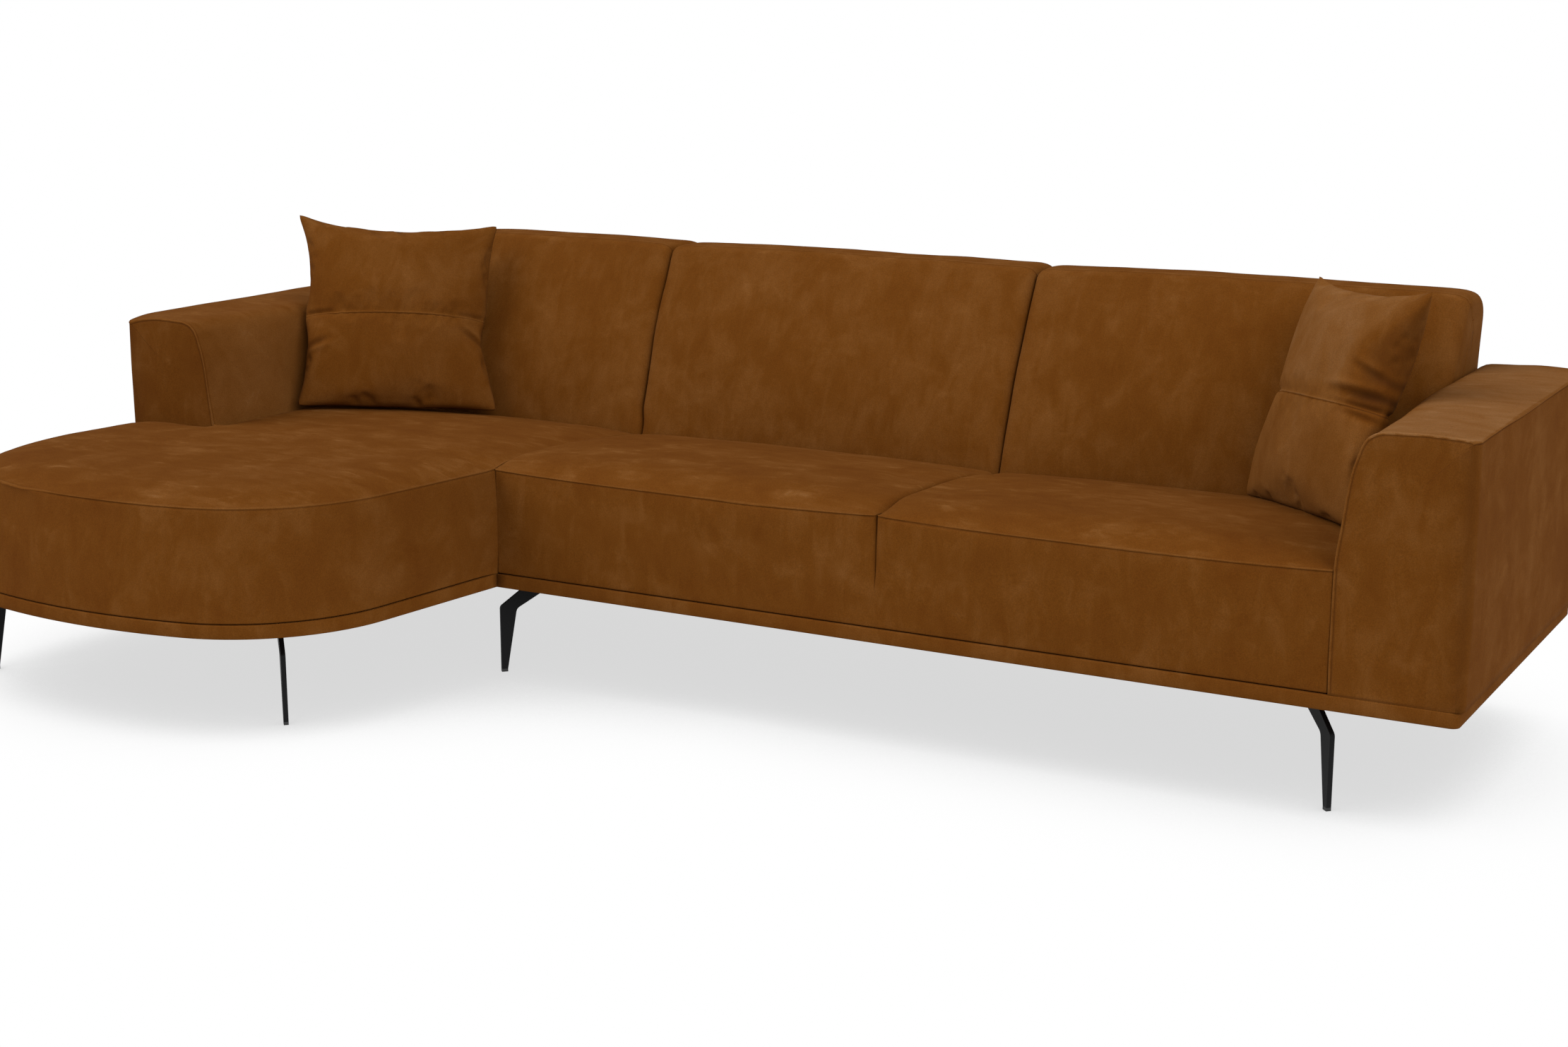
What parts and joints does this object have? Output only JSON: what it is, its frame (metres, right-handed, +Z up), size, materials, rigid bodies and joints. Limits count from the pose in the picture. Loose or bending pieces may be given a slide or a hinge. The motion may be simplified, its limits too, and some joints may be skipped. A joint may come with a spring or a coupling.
{
  "type": "lounge sofa with rounded chaise",
  "caption": "Upholstered corner lounge sofa with a rounded chaise nose on the left, raked seats, reclined backs, flared arms, bent black blade legs and loose scatter cushions.",
  "frame": {"origin": "on the floor, at the middle of the outline seen from above", "axes": "+X to the right as seen by someone looking at the front, -Y to the front, +Z up"},
  "size_m": [2.845, 1.42, 0.842],
  "materials": {
    "cover_fabric": "soft brushed nap, cognac brown",
    "leg_steel": "matt black powder coat",
    "glide_plastic": "matt black",
    "zinc_steel": "zinc plated",
    "spring_steel": "oiled wire",
    "felt": "pressed felt",
    "dust_cloth": "non-woven cloth",
    "webbing": "elastic webbing",
    "frame_wood": "plain plywood and pine"
  },
  "bodies": {
    "sofa": {"back_frame_left": "frame_wood", "back_frame_middle": "frame_wood", "back_frame_right": "frame_wood", "back_pad_left": "cover_fabric", "back_pad_middle": "cover_fabric", "back_pad_right": "cover_fabric", "back_panel_left": "cover_fabric", "back_panel_middle": "cover_fabric", "back_panel_right": "cover_fabric", "back_webbing": "webbing", "chaise_cushion": "cover_fabric", "chaise_dust_cover": "dust_cloth", "chaise_felt_pad": "felt", "chaise_leg_front_left": "leg_steel", "chaise_leg_front_right": "leg_steel", "chaise_leg_rear_left": "leg_steel", "chaise_leg_rear_right": "leg_steel", "chaise_plinth": "cover_fabric", "chaise_seat_border": "cover_fabric", "chaise_seat_rails": "frame_wood", "chaise_seat_springs": "spring_steel", "left_arm_frame": "frame_wood", "left_arm_pad": "cover_fabric", "leg_glides": "glide_plastic", "leg_screws": "zinc_steel", "module_bolts": "zinc_steel", "module_nuts": "zinc_steel", "right_arm_frame": "frame_wood", "right_arm_pad": "cover_fabric", "seat_cushion_middle": "cover_fabric", "seat_cushion_right": "cover_fabric", "sofa_dust_cover": "dust_cloth", "sofa_felt_pad": "felt", "sofa_leg_front_left": "leg_steel", "sofa_leg_front_right": "leg_steel", "sofa_leg_rear_left": "leg_steel", "sofa_leg_rear_right": "leg_steel", "sofa_plinth": "cover_fabric", "sofa_seat_border": "cover_fabric", "sofa_seat_rails": "frame_wood", "sofa_seat_springs": "spring_steel"},
    "left_scatter": {"scatter_cushion_left": "cover_fabric"},
    "right_scatter": {"scatter_cushion_right": "cover_fabric"}
  },
  "joints": [
    {"name": "left_scatter_lift", "type": "slide", "parent": "sofa", "child": "left_scatter", "axis": [0, 0, 1], "range_m": [0, 0.45]},
    {"name": "right_scatter_lift", "type": "slide", "parent": "sofa", "child": "right_scatter", "axis": [0, 0, 1], "range_m": [0, 0.45]}
  ]
}
